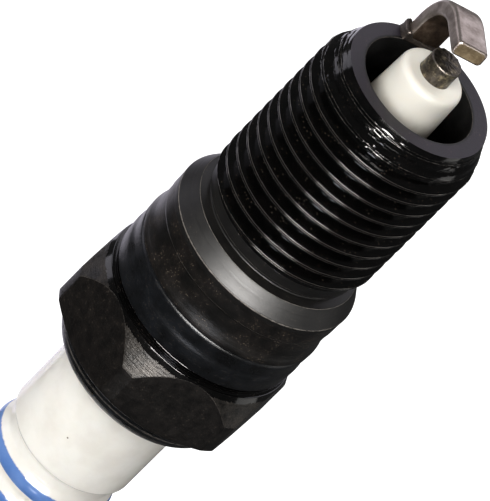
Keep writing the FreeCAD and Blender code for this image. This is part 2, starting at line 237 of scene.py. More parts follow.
def blackOxide(name, look):
    # black oxide over turned steel: near black with a brown or blue cast, an oily gloss that the
    # turning marks break up, and bare steel where edges have rubbed
    material, tree, place = startFinish(name)
    height = addNode(tree, "SeparateXYZ", {0: place}).outputs["Z"]
    flat = addNode(tree, "VectorMath", {0: place, 1: (1, 1, 0)}, operation="MULTIPLY")
    radius = addNode(tree, "VectorMath", {0: flat}, operation="LENGTH").outputs["Value"]
    mottle, grain, chips = [addNode(tree, "TexNoise", {
        "Vector": place, "Scale": 1 / look[size], "Detail": detail, "Roughness": rough})
        for size, detail, rough in (("mottleMm", 6, 0.62), ("grainMm", 3, 0.6), ("wearMm", 5, 0.7))]
    # the tool's path: rings that follow height on the sides and radius on the faces, a little wavy
    path = addNode(tree, "Math", {0: radius, 1: look["ringSlant"], 2: height}, operation="MULTIPLY_ADD")
    path = addNode(tree, "Math", {0: mottle, 1: look["ringWave"], 2: path}, operation="MULTIPLY_ADD")
    rings = addNode(tree, "TexNoise", {
        "W": path, "Scale": 1 / look["ringMm"], "Detail": 4, "Roughness": 0.7}, noise_dimensions="1D")
    share = addNode(tree, "MapRange", {0: mottle, 1: 0.38, 2: 0.64})
    # dust and burnt oil sit in the finish as pale specks, in patches
    speck = addNode(tree, "TexVoronoi", {"Vector": place, "Scale": 1 / look["speckMm"]})
    speckMask = addNode(tree, "MapRange", {0: speck, 1: 0.24, 2: 0.08, 3: 0.0, 4: look["speckAmount"]})
    patch = addNode(tree, "MapRange", {0: mottle, 1: 0.46, 2: 0.58})
    speckMask = addNode(tree, "Math", {0: speckMask, 1: patch}, operation="MULTIPLY")
    # worn edges show steel where the noise lets them
    worn = addNode(tree, "Attribute", attribute_name="edgeWear").outputs["Fac"]
    bare = addNode(tree, "Math", {0: chips, 1: look["wear"], 2: worn}, operation="MULTIPLY_ADD")
    bare = addNode(tree, "MapRange", {0: bare, 1: 1.05, 2: 1.4})
    colour = toLinear(look["dark"])
    for mask, hue in ((share, "light"), (speckMask, "speck"), (bare, "bare")):
        colour = addNode(tree, "Mix", {
            0: mask, 6: colour, 7: toLinear(look[hue])}, data_type="RGBA").outputs[2]
    metal = addNode(tree, "MapRange", {0: bare, 3: look["metallic"], 4: 0.95})
    gloss = addNode(tree, "MapRange", {
        0: mottle, 1: 0.3, 2: 0.7, 3: look["gloss"][0], 4: look["gloss"][1]})
    gloss = addNode(tree, "Math", {0: rings, 1: look["ringGloss"], 2: gloss}, operation="MULTIPLY_ADD")
    marks = addNode(tree, "Math", {0: grain, 1: look["grainShare"], 2: rings}, operation="MULTIPLY_ADD")
    relief = addNode(tree, "Bump", {
        "Height": marks, "Strength": look["bump"], "Distance": look["bumpMm"] * millimetre})
    tangent = addNode(tree, "Tangent", direction_type="RADIAL", axis="Z")
    endFinish(tree, {
        "Base Color": colour, "Metallic": metal, "Roughness": gloss, "Normal": relief, "Tangent": tangent,
        "Anisotropic": look["anisotropic"], "IOR": look["ior"]})
    return material


# each finish changes only what its own surface shows
oxideBase = {
    "dark": "#0c0b0b", "light": "#161413", "bare": "#8d8680", "speck": "#5c5146",
    "mottleMm": 1.6, "grainMm": 0.12, "ringMm": 0.16, "speckMm": 0.32, "wearMm": 0.5,
    "ringSlant": 0.83, "ringWave": 0.12,
    "speckAmount": 0.25, "wear": 0.7, "metallic": 0.0, "ior": 1.5,
    "gloss": (0.26, 0.38), "ringGloss": 0.12, "grainShare": 0.5, "bump": 0.35, "bumpMm": 0.012,
    "anisotropic": 0.35,
}

# rolled thread: deep gloss black, with two thin bright lines on every crest: rubbed bare steel set where the
# crest's double highlight falls, so partly a painted highlight
threadOxide = blackOxide("black_oxide_rolled_thread", {
    **oxideBase, "dark": "#030303", "light": "#080707", "gloss": (0.06, 0.11), "ringGloss": 0.04,
    "wear": 0.75, "wearMm": 0.35, "bare": "#918b86", "speckAmount": 0.3, "anisotropic": 0.0, "bump": 0.22})
# turned cone: satin grey-black whose highlight is drawn out across fine rings
turnedSteel = blackOxide("black_oxide_satin_turned", {
    **oxideBase, "dark": "#121111", "light": "#191817", "metallic": 0.1, "gloss": (0.3, 0.34),
    "ringGloss": 0.16, "ringMm": 0.14, "anisotropic": 0.65, "bump": 0.7, "wear": 0.95, "bare": "#b5aea6"})
# turned barrel: brown-black, dulled by pale specks of dust and burnt oil
barrelOxide = blackOxide("black_oxide_brown_speckled", {
    **oxideBase, "dark": "#080706", "light": "#181310", "gloss": (0.24, 0.36), "speckMm": 0.17,
    "speckAmount": 1.0, "speck": "#75695a", "bump": 0.7, "grainShare": 1.3})
# heated band: a faint blue cast over black, soft gloss
bandOxide = blackOxide("black_oxide_blued_by_heat", {
    **oxideBase, "dark": "#08090b", "light": "#12151a", "metallic": 0.1, "gloss": (0.2, 0.3),
    "speckAmount": 0.6, "speckMm": 0.15, "anisotropic": 0.4, "bump": 0.8, "grainShare": 1.2})
# forged and rubbed flats: flat brown-black with fine grain
hexOxide = blackOxide("black_oxide_forged_flats", {
    **oxideBase, "dark": "#0a0807", "light": "#14100d", "gloss": (0.3, 0.42), "ringGloss": 0.0,
    "grainShare": 1.8, "mottleMm": 0.8, "anisotropic": 0.0, "bump": 0.5, "wear": 0.6})
# chamfer between the flats: rubbed half bare, so greyer and brighter than the flats
facetOxide = blackOxide("black_oxide_rubbed_chamfer", {
    **oxideBase, "dark": "#141211", "light": "#37332f", "metallic": 0.4, "gloss": (0.24, 0.36),
    "mottleMm": 1.1, "anisotropic": 0.1, "bump": 0.8, "bumpMm": 0.03, "grainMm": 0.3, "grainShare": 1.2})
# end face under soot: matte purple-grey, finely grained; the purple cast and the lighter grey are partly a
# painted sheen
faceOxide = blackOxide("black_oxide_sooted_face_painted_sheen", {
    **oxideBase, "dark": "#1c181f", "light": "#2a242d", "gloss": (0.42, 0.54), "speckAmount": 0.6,
    "ringGloss": 0.05, "anisotropic": 0.0, "bump": 0.8, "grainShare": 1.8, "grainMm": 0.09})
# bore under soot: almost no light comes back
boreOxide = blackOxide("black_oxide_sooted_bore", {
    **oxideBase, "dark": "#020202", "light": "#060606", "gloss": (0.35, 0.5), "anisotropic": 0.0,
    "speckAmount": 0.15})


def nickelAlloy(name, look):
    # nickel-chromium alloy, drawn and sheared: dull warm grey metal under a thin brown scale
    material, tree, place = startFinish(name)
    scale = addNode(tree, "TexNoise", {
        "Vector": place, "Scale": 1 / look["scaleMm"], "Detail": 7, "Roughness": 0.65})
    stretched = addNode(tree, "VectorMath", {0: place, 1: look["drawn"]}, operation="MULTIPLY")
    drawn = addNode(tree, "TexNoise", {
        "Vector": stretched, "Scale": 1 / look["drawnMm"], "Detail": 4, "Roughness": 0.6})
    low = addNode(tree, "MapRange", {0: scale, 1: 0.34, 2: 0.52})
    high = addNode(tree, "MapRange", {0: scale, 1: 0.52, 2: 0.7})
    worn = addNode(tree, "Attribute", attribute_name="edgeWear").outputs["Fac"]
    rubbed = addNode(tree, "Math", {0: worn, 1: drawn}, operation="MULTIPLY")
    colour = toLinear(look["dark"])
    for mask, hue in ((low, "mid"), (high, "light"), (rubbed, "bare")):
        colour = addNode(tree, "Mix", {
            0: mask, 6: colour, 7: toLinear(look[hue])}, data_type="RGBA").outputs[2]
    gloss = addNode(tree, "MapRange", {
        0: drawn, 1: 0.3, 2: 0.7, 3: look["gloss"][0], 4: look["gloss"][1]})
    marks = addNode(tree, "Math", {0: drawn, 1: 0.6, 2: scale}, operation="MULTIPLY_ADD")
    relief = addNode(tree, "Bump", {
        "Height": marks, "Strength": look["bump"], "Distance": 0.02 * millimetre})
    endFinish(tree, {
        "Base Color": colour, "Roughness": gloss, "Normal": relief, "Metallic": look["metallic"]})
    return material


nickelBase = {
    "dark": "#7b6d65", "mid": "#aea198", "light": "#d2c6c0", "bare": "#e8ddd6", "scaleMm": 1.1,
    "drawn": (1, 1, 0.2), "drawnMm": 0.1, "gloss": (0.34, 0.46), "bump": 0.4, "metallic": 0.92,
}
# sheared strip: warm pinkish grey, soft metal gloss, pale along its edges
strapNickel = nickelAlloy("nickel_alloy_sheared_strip", nickelBase)
# sheared end: olive to brown, duller than the strip
strapEnd = nickelAlloy("nickel_alloy_sheared_end", {
    **nickelBase, "dark": "#67563f", "mid": "#958468", "light": "#b3a284", "bare": "#b3a284",
    "gloss": (0.42, 0.55), "drawn": (1, 1, 1), "drawnMm": 0.15})
# fired wire: dark scale with brassy patches where it has burnt clean
wireNickel = nickelAlloy("nickel_alloy_fired_wire", {
    **nickelBase, "dark": "#1a1713", "mid": "#4f483b", "light": "#b0a384", "scaleMm": 0.5,
    "drawn": (1, 1, 0.4), "drawnMm": 0.12, "bump": 0.6})
# side toward the spark: dark brown, a painted shade of the strap's concave inside, with little gloss
strapInnerShade = nickelAlloy("nickel_alloy_strip_painted_shade", {
    **nickelBase, "dark": "#241b16", "mid": "#43372e", "light": "#67584c", "bare": "#8b7c70",
    "gloss": (0.42, 0.56)})
# weld: dark lumpy scale
weldNickel = nickelAlloy("resistance_weld_scale", {
    **nickelBase, "dark": "#1d1713", "mid": "#3d332c", "light": "#6a5a50", "scaleMm": 0.3,
    "drawn": (1, 1, 1), "drawnMm": 0.1, "gloss": (0.3, 0.5), "bump": 0.8})

ceramicSizes = {
    "boreRadius": 1.28, "sealBoreRadius": 2.0, "boreFloor": 2.6, "noseRadius": 2.55, "noseRounding": 1.1,
    "noseRootRadius": 3.35, "noseRoot": 1.8, "seat": (1.28, 0.39), "waistRadius": 4.9, "flangeRadius": 6.37,
    "flange": (-6.3, -7.15, -11.3, -12.45), "bodyRadius": 5.19, "bodyEnd": -24.9,
    "ribDepth": 0.54, "ribPitch": 2.5, "ribCount": 5, "firstRib": -27.2, "headRounding": 0.7,
    "ringWidth": 1.15,
}


def glazedAlumina(look):
    # alumina ceramic: a clear glaze over warm white with printed blue rings, and a bare nose with soot and
    # painted shade toward its root
    material, tree, place = startFinish("glazed_alumina_ceramic")
    height = addNode(tree, "SeparateXYZ", {0: place}).outputs["Z"]
    cloud = addNode(tree, "TexNoise", {"Vector": place, "Scale": 1 / look["cloudMm"], "Detail": 4})
    fine = addNode(tree, "TexNoise", {"Vector": place, "Scale": 1 / look["fineMm"], "Detail": 3})
    share = addNode(tree, "MapRange", {0: cloud, 1: 0.35, 2: 0.6})
    colour = addNode(tree, "Mix", {
        0: share, 6: toLinear(look["shade"]), 7: toLinear(look["white"])}, data_type="RGBA").outputs[2]
    # a ring on each rib's crest, with a soft printed edge
    pitch, first = ceramicSizes["ribPitch"], ceramicSizes["firstRib"]
    last = first - pitch * (ceramicSizes["ribCount"] - 1)
    along = addNode(tree, "Math", {0: height, 1: pitch / 2 - first}, operation="ADD")
    turn = addNode(tree, "Math", {0: along, 1: pitch}, operation="FLOORED_MODULO")
    away = addNode(tree, "Math", {0: turn, 1: pitch / 2}, operation="SUBTRACT")
    away = addNode(tree, "Math", {0: away}, operation="ABSOLUTE")
    away = addNode(tree, "Math", {0: fine, 1: 0.1, 2: away}, operation="MULTIPLY_ADD")
    edgeStart, edgeEnd = [ceramicSizes["ringWidth"] / 2 + soft for soft in look["printEdge"]]
    ring = addNode(tree, "MapRange", {0: away, 1: edgeStart, 2: edgeEnd, 3: 1.0, 4: 0.0})
    below = addNode(tree, "Math", {0: height, 1: first + pitch / 2}, operation="LESS_THAN")
    above = addNode(tree, "Math", {0: height, 1: last - pitch / 2}, operation="GREATER_THAN")
    for limit in (below, above):
        ring = addNode(tree, "Math", {0: ring, 1: limit}, operation="MULTIPLY")
    ink = addNode(tree, "Mix", {
        0: share, 6: toLinear(look["ink"]), 7: toLinear(look["inkLight"])}, data_type="RGBA").outputs[2]
    colour = addNode(tree, "Mix", {0: ring, 6: colour, 7: ink}, data_type="RGBA").outputs[2]
    onNose = addNode(tree, "Math", {0: height, 1: 1.0}, operation="GREATER_THAN")
    # soot and painted shade deepen toward the root of the nose, down in the shell's bore
    sootAndShade = addNode(tree, "Math", {0: cloud, 1: 1.6, 2: height}, operation="MULTIPLY_ADD")
    sootAndShade = addNode(tree, "MapRange", {
        0: sootAndShade, 1: look["sootAndShadeStart"], 2: look["sootAndShadeEnd"], 3: 0.0, 4: look["sootAndShadeAmount"]},
        interpolation_type="SMOOTHSTEP")
    sootAndShade = addNode(tree, "Math", {0: sootAndShade, 1: onNose}, operation="MULTIPLY")
    # a few pinholes and specks
    cell = addNode(tree, "TexVoronoi", {"Vector": place, "Scale": 1 / look["speckMm"]})
    draw = addNode(tree, "SeparateColor", {0: cell.outputs["Color"]})
    rare = addNode(tree, "Math", {0: draw, 1: look["speckShare"]}, operation="LESS_THAN")
    dot = addNode(tree, "MapRange", {0: cell, 1: 0.09, 2: 0.05})
    dot = addNode(tree, "Math", {0: dot, 1: rare}, operation="MULTIPLY")
    for mask, hue in ((onNose, "fired"), (sootAndShade, "sootAndShade"), (dot, "speck")):
        colour = addNode(tree, "Mix", {
            0: mask, 6: colour, 7: toLinear(look[hue])}, data_type="RGBA").outputs[2]
    gloss = addNode(tree, "MapRange", {0: onNose, 3: look["glazeGloss"], 4: look["bareGloss"]})
    relief = addNode(tree, "Bump", {"Height": cloud, "Strength": 0.12, "Distance": 0.02 * millimetre})
    endFinish(tree, {
        "Base Color": colour, "Roughness": gloss, "Normal": relief, "IOR": look["ior"],
        "Subsurface Weight": look["depth"], "Subsurface Radius": (1.0, 0.8, 0.6),
        "Subsurface Scale": 0.4 * millimetre})
    return material


# wet-looking warm white where it is glazed, dull cream where it is bare
ceramic = glazedAlumina({
    "white": "#eeece7", "shade": "#e5e2dc", "ink": "#5379ba", "inkLight": "#688ac6", "sootAndShade": "#4a3826",
    "fired": "#f3efe5", "speck": "#4a3d22", "cloudMm": 2.2, "fineMm": 0.2, "speckMm": 1.1,
    "speckShare": 0.07, "printEdge": (0.01, 0.09), "sootAndShadeStart": 18.6, "sootAndShadeEnd": 15.6, "sootAndShadeAmount": 0.85,
    "glazeGloss": 0.12, "bareGloss": 0.55, "ior": 1.6, "depth": 0.15})


def plainFinish(name, look):
    # plated steel and the pieces inside: colour, grain and gloss vary a little
    material, tree, place = startFinish(name)
    cloud = addNode(tree, "TexNoise", {
        "Vector": place, "Scale": 1 / look["cloudMm"], "Detail": 6, "Roughness": 0.6})
    grain = addNode(tree, "TexNoise", {
        "Vector": place, "Scale": 1 / look["grainMm"], "Detail": 3})
    share = addNode(tree, "MapRange", {0: cloud, 1: 0.35, 2: 0.65})
    worn = addNode(tree, "Attribute", attribute_name="edgeWear").outputs["Fac"]
    worn = addNode(tree, "Math", {0: worn, 1: grain}, operation="MULTIPLY")
    colour = toLinear(look["dark"])
    for mask, hue in ((share, "light"), (worn, "edge")):
        colour = addNode(tree, "Mix", {
            0: mask, 6: colour, 7: toLinear(look[hue])}, data_type="RGBA").outputs[2]
    gloss = addNode(tree, "MapRange", {
        0: grain, 1: 0.3, 2: 0.7, 3: look["gloss"][0], 4: look["gloss"][1]})
    relief = addNode(tree, "Bump", {
        "Height": grain, "Strength": look["bump"], "Distance": 0.01 * millimetre})
    endFinish(tree, {
        "Base Color": colour, "Roughness": gloss, "Normal": relief, "Metallic": look["metallic"]})
    return material


plainFinishes = {
    "nickel_plated_steel": {  # bright warm metal, sharp highlights
        "dark": "#a7a39c", "light": "#bdb9b1", "edge": "#dcd8d0", "cloudMm": 2.5, "grainMm": 0.12,
        "gloss": (0.26, 0.38), "bump": 0.06, "metallic": 1.0},
    "copper_extruded": {  # orange metal, faintly streaked
        "dark": "#a4623f", "light": "#c07a52", "edge": "#dca080", "cloudMm": 1.2, "grainMm": 0.1,
        "gloss": (0.3, 0.42), "bump": 0.3, "metallic": 1.0},
    "steel_stamped": {  # mid grey metal, slightly rough
        "dark": "#6d6a66", "light": "#8a8681", "edge": "#b0aca6", "cloudMm": 1.5, "grainMm": 0.1,
        "gloss": (0.3, 0.45), "bump": 0.4, "metallic": 1.0},
    "talc_pressed": {  # dull off-white powder, no gloss
        "dark": "#c3bfb4", "light": "#dedad0", "edge": "#e8e5dc", "cloudMm": 0.5, "grainMm": 0.08,
        "gloss": (0.75, 0.9), "bump": 0.8, "metallic": 0.0},
    "copper_glass_fused": {  # red-brown glassy mass
        "dark": "#3f2c24", "light": "#6b4a3a", "edge": "#8a6552", "cloudMm": 0.3, "grainMm": 0.08,
        "gloss": (0.3, 0.5), "bump": 0.6, "metallic": 0.3},
    "resistor_glass_carbon": {  # dull charcoal, fine grained
        "dark": "#1b1a1a", "light": "#353331", "edge": "#4a4744", "cloudMm": 0.4, "grainMm": 0.08,
        "gloss": (0.5, 0.7), "bump": 0.6, "metallic": 0.0},
}
finishes = {name: plainFinish(name, look) for name, look in plainFinishes.items()}
print("finishes ready:", len(bpy.data.materials))


shellSizes = {
    "hexFlat": 7.94, "hexFront": -8.6, "frontRise": 2.3, "hexBack": -14.5,
    "backRise": 0.7, "facetInner": 8.06, "frontRadius": 7.89, "backRadius": 7.84, "endRadius": 5.9,
    "mouthRadius": 4.6, "foldRadii": (7.5, 7.6, 7.72, 7.82), "foldFront": -8.2, "foldPitch": 0.1,
    "foldDepth": 0.06,
}
threadSizes = {
    "crest": 6.95, "pitch": 1.25, "depth": 0.72, "crestWidth": 0.25, "crown": 2.2,
    "wearAndHighlightApart": 0.17, "seamDepth": 0.05, "seamWidth": 0.035, "crestHeight": 13.4, "crestAzimuth": 3.2,
    "leadIn": 2.4, "end": 3.0, "low": 2.4, "relief": 6.45, "wearAndHighlightWidth": 0.026, "uneven": 0.014,
    # torn burrs: depth, and the heights where they come and go
    "burr": 0.07, "burrStart": (14.3, 15.4), "burrEnd": (16.0, 16.8), "fold": 0.16,
    "crestBlend": 0.03, "rootBlend": 0.06, "wearEnd": 17.0,
}
# where the thread has been knocked: azimuth, height, half width round and along, depth
threadDents = [
    (-62, 11.2, 7, 0.25, 0.10), (-96, 7.4, 3, 0.15, 0.08), (-38, 8.8, 4, 0.18, 0.06),
    (-120, 12.6, 3, 0.15, 0.07), (-80, 4.4, 2, 0.12, 0.06), (20, 9.9, 4, 0.2, 0.08),
    (150, 6.1, 5, 0.2, 0.08), (95, 12.0, 3, 0.2, 0.07), (-15, 13.3, 5, 0.2, 0.06),
]
reach = boxInMm("metal_shell")[1].z
collarEnd = boxInMm("metal_shell")[0].z
shellSizes["hexCorner"] = boxInMm("metal_shell")[1].y - 0.002  # the corner lands are turned, so Y meets one
# each zone's finish, in slot order
shellFinishes = {
    "thread": threadOxide, "cone": turnedSteel, "waist": barrelOxide, "band": bandOxide, "flats": hexOxide,
    "chamfer": facetOxide, "face": faceOxide, "bore": boreOxide,
}
# the turned parts: radius, z and rounding of each corner
shellOutlines = {
    "cone": [
        (threadSizes["relief"], threadSizes["low"], 0), (6.45, 1.55, 0.05), (6.15, 1.4, 0.08),
        (6.15, 1.12, 0.1), (6.88, 0.85, 0.04), (7.75, -0.57, 0.12), (7.71, -1.0, 0)],
    "waist": [
        (7.71, -1.0, 0), (7.69, -2.2, 0.06), (7.64, -2.28, 0.04), (7.6, -3.7, 0.7), (7.79, -4.5, 0.25),
        (7.8, -4.7, 0)],
    "band": [
        (7.8, -4.7, 0), (7.8, -4.76, 0.02), (7.68, -4.86, 0.05), (7.79, -5.05, 0.25), (7.7, -6.12, 0.35),
        (7.8, -6.58, 0.3), (7.76, -7.3, 0.4), (7.68, -8.05, 0.06), (7.46, -8.15, 0)],
    "collar": [
        (shellSizes["backRadius"], shellSizes["hexBack"], 0), (7.58, shellSizes["hexBack"] - 0.06, 0.05),
        (7.5, -15.1, 0.3), (7.34, -15.6, 0.3), (7.1, -15.95, 0.25), (6.8, collarEnd, 0.14),
        (5.27, collarEnd, 0.06), (5.27, -15.5, 0)],
    "inside": [
        (5.27, -15.5, 0), (6.45, -15.5, 0), (6.45, -7.04, 0), (5.0, -6.2, 0), (5.0, 0.68, 0), (3.75, 1.4, 0),
        (3.75, 3.6, 0), (4.6, 5.3, 0)],
    "mouth": [
        (4.6, 5.3, 0), (shellSizes["mouthRadius"], reach, 0.1), (shellSizes["mouthRadius"] + 0.2, reach, 0)],
    "face": [
        (shellSizes["mouthRadius"] + 0.2, reach, 0), (5.2, reach, 0), (5.6, reach, 0), (5.8, reach, 0.3),
        (shellSizes["endRadius"], reach, 0.95)],
}


def shellAngles():
    # shared by every grid of the shell, so that they weld; closest beside the hexagon's corner lands
    edge = math.degrees(math.acos(shellSizes["hexFlat"] / shellSizes["hexCorner"]))
    inner = edge - 0.4
    flat = [-edge] + [inner * (i / 17 - 1) for i in range(35)] + [edge]
    land = [edge + (60 - 2 * edge) * i / 5 for i in range(1, 5)]
    return [60 * k + a for k in range(6) for a in flat + land]


def threadRow(offset, turn, angles):
    # one line along the helix: offset from the crest's middle, and which turn
    t = threadSizes
    half = t["crestWidth"] / 2
    away = abs(offset)
    flank = math.sqrt(3)  # 60 degree thread
    profile = t["crest"] - t["seamDepth"] * bump(offset, 0, t["seamWidth"])
    profile -= t["crown"] * min(away, half) ** 2
    profile -= max(away - half, 0) * flank
    # two lines of rubbed bare steel on each crest, placed on the crest's double highlight: real wear and
    # partly a painted highlight
    wearAndHighlightRidge = bump(away, t["wearAndHighlightApart"] / 2, t["wearAndHighlightWidth"])
    row = []
    for a in angles:
        z = t["crestHeight"] + t["pitch"] * ((a - t["crestAzimuth"]) / 360 + turn) + offset
        z = min(max(z, t["low"]), reach)
        u, v = around(a)
        # the first turns are torn and burred, the rest a little uneven
        torn = smoothStep(*t["burrStart"], z) * (1 - smoothStep(*t["burrEnd"], z))
        unevenness = noise.noise(Vector((u * 9, v * 9, z * 1.2))) * t["uneven"]
        burr = noise.fractal(Vector((u * 24, v * 24, z * 7)), 0.6, 2.0, 4) * t["burr"] * torn
        r = profile + unevenness + burr
        for azimuth, height, wide, tall, deep in threadDents:
            turnAway = (a - azimuth + 180) % 360 - 180
            r -= deep * bump(turnAway, 0, wide) * bump(z, height, tall)
        root = t["crest"] - t["depth"] + (t["relief"] - t["crest"] + t["depth"]) * smoothStep(3.3, 2.7, z)
        r = softMax(r, root, t["rootBlend"])
        cone = shellSizes["endRadius"] + (t["crest"] - shellSizes["endRadius"]) * (reach - z) / t["leadIn"]
        # the lead-in keeps fine folds from the rolling
        fold = abs(noise.noise(Vector((u * 1.4, v * 1.4, z * 6)))) + 0.3 * abs(noise.noise(
            Vector((u * 6, v * 6, z * 11))))
        cone -= t["fold"] * fold * smoothStep(reach - 0.1, reach - 0.5, z)
        runOut = t["relief"] + max(z - t["end"] + 0.5, 0)
        limit = min(cone, runOut)
        wear = wearAndHighlightRidge if r < limit else 0.55 * wearAndHighlightRidge + 0.35 * smoothStep(0.25, 0.0, away)
        r = softMin(r, limit, t["crestBlend"])
        if z <= t["low"]:
            r = t["relief"]
        if z >= reach:
            r = shellSizes["endRadius"]
        row.append((r, z, wear * (1 - smoothStep(t["wearEnd"], reach, z))))
    return row


def threadRows(angles):
    spaces = [0, 0.02, 0.04, 0.06, 0.085, 0.11, 0.135, 0.18, 0.3, 0.42, 0.52, 0.6]
    offsets = [-x for x in spaces[:0:-1]] + spaces
    t = threadSizes
    lowest = math.floor((t["low"] - t["crestHeight"]) / t["pitch"]) - 2
    highest = math.ceil((reach - t["crestHeight"]) / t["pitch"]) + 1
    rows = [threadRow(offset, turn, angles) for turn in range(lowest, highest + 1) for offset in offsets]
    return rows, len(offsets)


def hexRows(angles):
    # each column has rows on the true edges between flats, corner lands and turned ends
    s = shellSizes
    front, back = 14, 8
    edge = math.degrees(math.acos(s["hexFlat"] / s["hexCorner"]))
    frontSlope = (s["hexCorner"] - s["frontRadius"]) / s["frontRise"]
    backSlope = (s["hexCorner"] - s["backRadius"]) / s["backRise"]
    columns = []
    for a in angles:
        away = (a + 30) % 60 - 30
        r = min(s["hexFlat"] / math.cos(math.radians(away)), s["hexCorner"])
        corner = 0.6 * bump(abs(away), edge, 0.3)
        cutFront = s["hexFront"] - (r - s["frontRadius"]) / frontSlope
        cutBack = s["hexBack"] + (r - s["backRadius"]) / backSlope
        soft = min(0.07, 0.3 * (s["hexFront"] - cutFront), 0.3 * (cutBack - s["hexBack"]))
        column = []
        for k in range(front):
            share = k / front
            z = s["hexFront"] + (cutFront + soft - s["hexFront"]) * share
            column.append((s["frontRadius"] + (r - s["frontRadius"]) * (s["hexFront"] - z)
                           / (s["hexFront"] - cutFront), z, 0.0))
        column.append((r - soft * frontSlope, cutFront + soft, 0.25))
        column.append((r - 0.3 * soft * frontSlope, cutFront + 0.1 * soft, 0.9))
        column.append((r, cutFront - soft, 0.2 + 0.6 * corner))
        for k in range(1, 10):
            column.append((r, cutFront - soft + (cutBack - cutFront + 2 * soft) * k / 10, 0.85 * corner))
        column.append((r, cutBack + soft, 0.2 + 0.6 * corner))
        column.append((r - 0.3 * soft * backSlope, cutBack - 0.1 * soft, 0.9))
        column.append((r - soft * backSlope, cutBack - soft, 0.25))
        for k in range(1, back + 1):
            z = cutBack - soft + (s["hexBack"] - cutBack + soft) * k / back
            column.append((s["backRadius"] + (r - s["backRadius"]) * (z - s["hexBack"])
                           / (cutBack - s["hexBack"]), z, 0.0))
        columns.append(column)
    # the forging and the socket have left the flats a little uneven
    rows = []
    for i in range(len(columns[0])):
        row = []
        for a, column in zip(angles, columns):
            r, z, wear = column[i]
            u, v = around(a)
            if 0 < i < len(columns[0]) - 1:
                r -= 0.012 * abs(noise.noise(Vector((u * 6, v * 6, z * 0.9))))
            row.append((r, z, wear))
        rows.append(row)
    return rows, front + 1


def makeShell():
    angles = shellAngles()
    s, o = shellSizes, shellOutlines
    finish = {zone: i for i, zone in enumerate(shellFinishes)}
    surface = Surface()
    rows, perTurn = threadRows(angles)
    surface.addGrid(rows, angles, finish["thread"], seamShift=perTurn)
    surface.addGrid(spread(softOutline(o["cone"], 5), 0.18), angles, finish["cone"])
    # the front of the barrel has rubbed on its edges, the hollow behind it hardly
    waist = [(r, z, wear * (0.9 if z > -3 else 0.2)) for r, z, wear in softOutline(o["waist"], 6)]
    surface.addGrid(spread(waist, 0.25), angles, finish["waist"])
    band = [(r, z, wear * 0.7) for r, z, wear in softOutline(o["band"], 6)]
    surface.addGrid(spread(band, 0.25), angles, finish["band"])
    # the narrow groove was heated and shrunk, which left it in fine folds
    folds = [(*o["band"][-1][:2], 0)]
    for k, r in enumerate(s["foldRadii"]):
        z = s["foldFront"] - s["foldPitch"] * k
        folds += [(r, z, 0.02), (r - s["foldDepth"], z - s["foldPitch"] / 2, 0.03)]
    folds += [(s["frontRadius"] - 0.02, s["hexFront"] + 0.03, 0.02), (s["frontRadius"], s["hexFront"], 0)]
    surface.addGrid(softOutline(folds, 3), angles, finish["thread"])
    rows, facetRows = hexRows(angles)
    rim = (s["facetInner"], finish["chamfer"])
    surface.addGrid(rows[:facetRows + 1], angles, finish["thread"], rim=rim)
    surface.addGrid(rows[facetRows:], angles, finish["flats"])
    surface.addGrid(spread(softOutline(o["collar"], 5), 0.3), angles, finish["band"])
    surface.addGrid(o["inside"], angles, finish["bore"])
    surface.addGrid(spread(softOutline(o["mouth"], 4), 0.6), angles, finish["bore"])
    surface.addGrid(o["face"], angles, finish["face"])
    shell = surface.build("metal_shell_turned", shellFinishes.values(), 32)
    settle(shell, "plug", "metal_shell")


makeShell()
print("shell made")


strapSizes = {
    "width": 2.52, "thickness": 1.28, "corner": 0.34, "azimuth": 123.0, "offset": -0.2, "bend": 3.0,
    "rise": 5.5, "pastAxis": 1.1, "gap": 1.44, "footRadius": 5.25, "endRounding": 0.16,
}
weldSizes = {
    # out from the strap and up from the end face: the fillet all round, and the fin at one side
    "fillet": [
        (0.5, 0.0), (0.46, 0.1), (0.36, 0.22), (0.24, 0.34), (0.13, 0.46), (0.04, 0.54), (-0.04, 0.56)],
    "fin": [(0.5, 0.0), (0.4, 0.22), (0.44, 0.5), (0.4, 0.72), (0.29, 0.78), (0.15, 0.5), (-0.04, 0.42)],
    "innerLimit": 4.6, "outerLimit": 6.0, "sunk": 0.1,
}
electrodeTip = boxInMm("centre_electrode")[1].z


def strapSection(thickness, width, corner, perCorner=6):
    # rounded rectangle: across the thickness, across the width, and how much it is an edge
    outline = []
    for k, (a, b) in enumerate(((1, 1), (-1, 1), (-1, -1), (1, -1))):
        for i in range(perCorner + 1):
            turn = math.radians(90 * k + 90 * i / perCorner)
            outline.append((a * (thickness / 2 - corner) + corner * math.cos(turn),
                            b * (width / 2 - corner) + corner * math.sin(turn),
                            math.sin(math.pi * i / perCorner) ** 2))
    return outline


def strapLine():
    # stations along the strap's middle: point out and up, and the direction it runs
    s = strapSizes
    rise = math.radians(s["rise"])
    bend = s["bend"] + s["thickness"] / 2
    onAxis = electrodeTip + s["gap"] + s["thickness"] / 2 / math.cos(rise)
    centreX = s["footRadius"] - bend
    armX = centreX + bend * math.sin(rise)
    armZ = onAxis - armX * math.tan(rise)
    centreZ = armZ - bend * math.cos(rise)
    stations = [(s["footRadius"], reach + (centreZ - reach) * i / 8, 0.0) for i in range(8)]
    for i in range(33):
        turn = (math.pi / 2 - rise) * i / 32
        stations.append((centreX + bend * math.cos(turn), centreZ + bend * math.sin(turn), turn))
    tipX = -s["pastAxis"]
    for i in range(1, 17):
        x = armX + (tipX - armX) * i / 16
        stations.append((x, onAxis - x * math.tan(rise), math.pi / 2 - rise))
    return stations


def onEndFace(out, along, z):
    # from the strap's own plane to its place round the plug
    across = along + strapSizes["offset"]
    c, s = around(strapSizes["azimuth"])
    return Vector((out * c - across * s, out * s + across * c, z))


